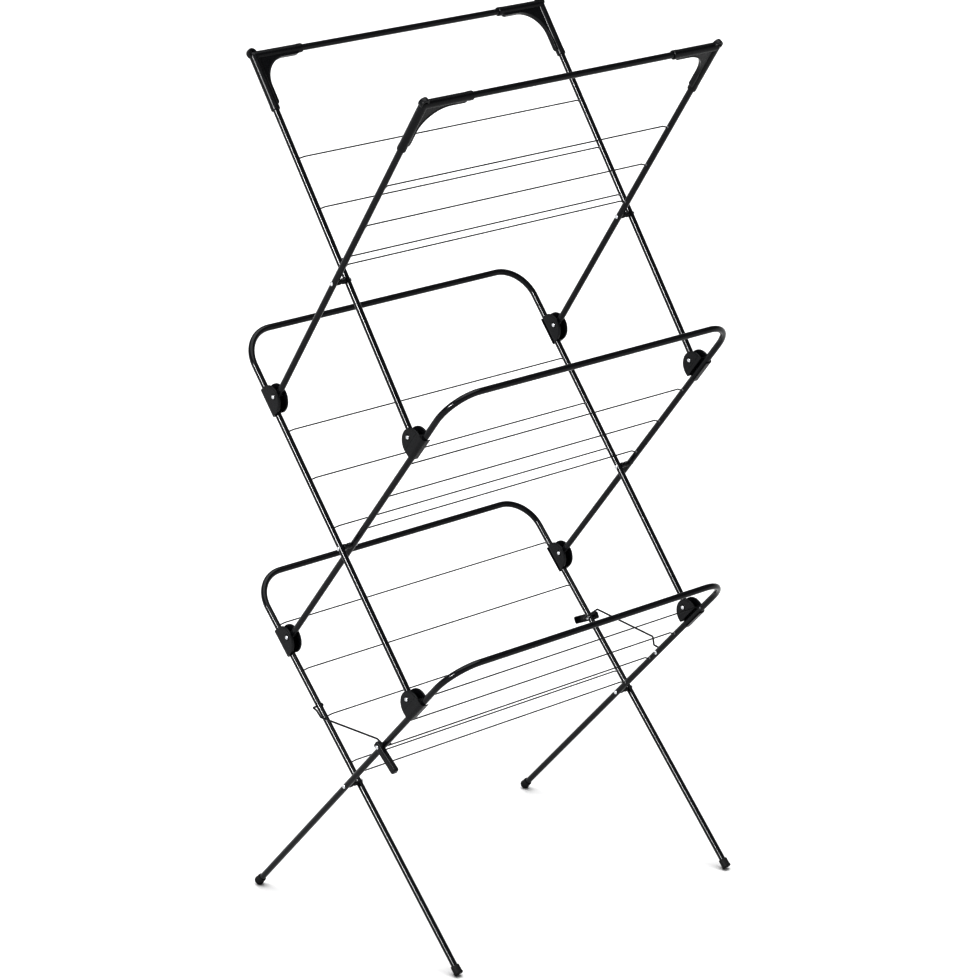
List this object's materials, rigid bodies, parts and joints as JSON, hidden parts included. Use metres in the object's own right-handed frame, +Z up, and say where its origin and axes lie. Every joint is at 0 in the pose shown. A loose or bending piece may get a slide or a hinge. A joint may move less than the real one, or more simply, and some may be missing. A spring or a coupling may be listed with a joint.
{
  "type": "folding clothes airer",
  "caption": "Free-standing concertina clothes airer: scissor frames of bent black tube stacked in tiers, thin drying wires, plastic hinge hubs and a lock on the bottom tier.",
  "frame": {"origin": "on the floor, under the middle of the open airer", "axes": "+Z up, X along the drying wires, -Y the front"},
  "size_m": [0.6354, 0.5296, 1.387],
  "materials": {
    "tube": "black powder coat, satin gloss",
    "wire": "black powder coat on thin wire",
    "plastic": "black moulded plastic with a soft sheen",
    "rubber": "black rubber",
    "rivet_steel": "bright zinc-plated steel"
  },
  "bodies": {
    "lower_front_frame_body": {"lower_front_frame": "tube", "lower_front_wire_1": "wire", "lower_front_wire_2": "wire", "lower_front_wire_3": "wire", "lower_front_wire_4": "wire", "front_lower_hub_left": "plastic", "front_lower_hub_right": "plastic", "foot_back_left": "rubber", "foot_back_right": "rubber", "lower_crossing_rivet_left": "rivet_steel", "lower_crossing_rivet_right": "rivet_steel", "lock_catch_pin_left": "rivet_steel"},
    "lower_back_frame_body": {"lower_back_frame": "tube", "lower_back_wire_1": "wire", "lower_back_wire_2": "wire", "lower_back_wire_3": "wire", "lower_back_wire_4": "wire", "back_lower_hub_left": "plastic", "back_lower_hub_right": "plastic", "foot_front_left": "rubber", "foot_front_right": "rubber", "lock_catch_pin_right": "rivet_steel"},
    "middle_back_frame_body": {"middle_back_frame": "tube", "middle_back_wire_1": "wire", "middle_back_wire_2": "wire", "middle_back_wire_3": "wire", "back_middle_hub_left": "plastic", "back_middle_hub_right": "plastic", "middle_crossing_rivet_left": "rivet_steel", "middle_crossing_rivet_right": "rivet_steel"},
    "middle_front_frame_body": {"middle_front_frame": "tube", "middle_front_wire_1": "wire", "middle_front_wire_2": "wire", "middle_front_wire_3": "wire", "front_middle_hub_left": "plastic", "front_middle_hub_right": "plastic"},
    "upper_front_frame_body": {"upper_front_side_tube_left": "tube", "upper_front_side_tube_right": "tube", "upper_front_rail": "tube", "upper_front_corner_left": "plastic", "upper_front_corner_right": "plastic", "upper_front_wire_1": "wire", "upper_front_wire_2": "wire", "upper_front_wire_3": "wire", "upper_crossing_rivet_left": "rivet_steel", "upper_crossing_rivet_right": "rivet_steel"},
    "upper_back_frame_body": {"upper_back_side_tube_left": "tube", "upper_back_side_tube_right": "tube", "upper_back_rail": "tube", "upper_back_corner_left": "plastic", "upper_back_corner_right": "plastic", "upper_back_wire_1": "wire", "upper_back_wire_2": "wire", "upper_back_wire_3": "wire"},
    "lock_stay_left_body": {"lock_stay_left": "wire", "lock_stay_cap_left": "rivet_steel"},
    "lock_lever_left_body": {"lock_lever_left": "plastic"},
    "lock_stay_right_body": {"lock_stay_right": "wire", "lock_stay_cap_right": "rivet_steel"},
    "lock_lever_right_body": {"lock_lever_right": "plastic"}
  },
  "joints": [
    {"name": "fold", "type": "hinge", "parent": "lower_front_frame_body", "child": "lower_back_frame_body", "pos_m": [0, 0, 0.25119], "axis": [1, 0, 0], "range_deg": [0, 53]},
    {"name": "front_lower_hub_pivot", "type": "hinge", "parent": "lower_front_frame_body", "child": "middle_back_frame_body", "pos_m": [0, -0.16292, 0.44916], "axis": [1, 0, 0], "range_deg": [0, 53]},
    {"name": "middle_crossing_pivot", "type": "hinge", "parent": "middle_back_frame_body", "child": "middle_front_frame_body", "pos_m": [0, 0, 0.64713], "axis": [1, 0, 0], "range_deg": [-53, 0]},
    {"name": "back_middle_hub_pivot", "type": "hinge", "parent": "middle_back_frame_body", "child": "upper_front_frame_body", "pos_m": [0, 0.1469, 0.85726], "axis": [1, 0, 0], "range_deg": [-53, 0]},
    {"name": "upper_crossing_pivot", "type": "hinge", "parent": "upper_front_frame_body", "child": "upper_back_frame_body", "pos_m": [0, 0, 1.06739], "axis": [1, 0, 0], "range_deg": [0, 53]},
    {"name": "stay_left_pivot", "type": "hinge", "parent": "lower_back_frame_body", "child": "lock_stay_left_body", "pos_m": [-0.29, 0.09578, 0.35054], "axis": [1, 0, 0], "range_deg": [-26.5, 0]},
    {"name": "stay_right_pivot", "type": "hinge", "parent": "lower_front_frame_body", "child": "lock_stay_right_body", "pos_m": [0.29, -0.09578, 0.35054], "axis": [1, 0, 0], "range_deg": [0, 26.5]},
    {"name": "lever_left_flip", "type": "hinge", "parent": "lower_front_frame_body", "child": "lock_lever_left_body", "pos_m": [-0.3023, -0.09578, 0.35054], "axis": [-1, 0, 0], "range_deg": [0, 95]},
    {"name": "lever_right_flip", "type": "hinge", "parent": "lower_back_frame_body", "child": "lock_lever_right_body", "pos_m": [0.3023, 0.09578, 0.35054], "axis": [1, 0, 0], "range_deg": [0, 95]}
  ],
  "couplings": [
    {"joint": "front_lower_hub_pivot", "follows": "fold", "ratio": 1},
    {"joint": "middle_crossing_pivot", "follows": "fold", "ratio": -1},
    {"joint": "back_middle_hub_pivot", "follows": "fold", "ratio": -1},
    {"joint": "upper_crossing_pivot", "follows": "fold", "ratio": 1},
    {"joint": "stay_left_pivot", "follows": "fold", "ratio": -0.5},
    {"joint": "stay_right_pivot", "follows": "fold", "ratio": 0.5}
  ]
}
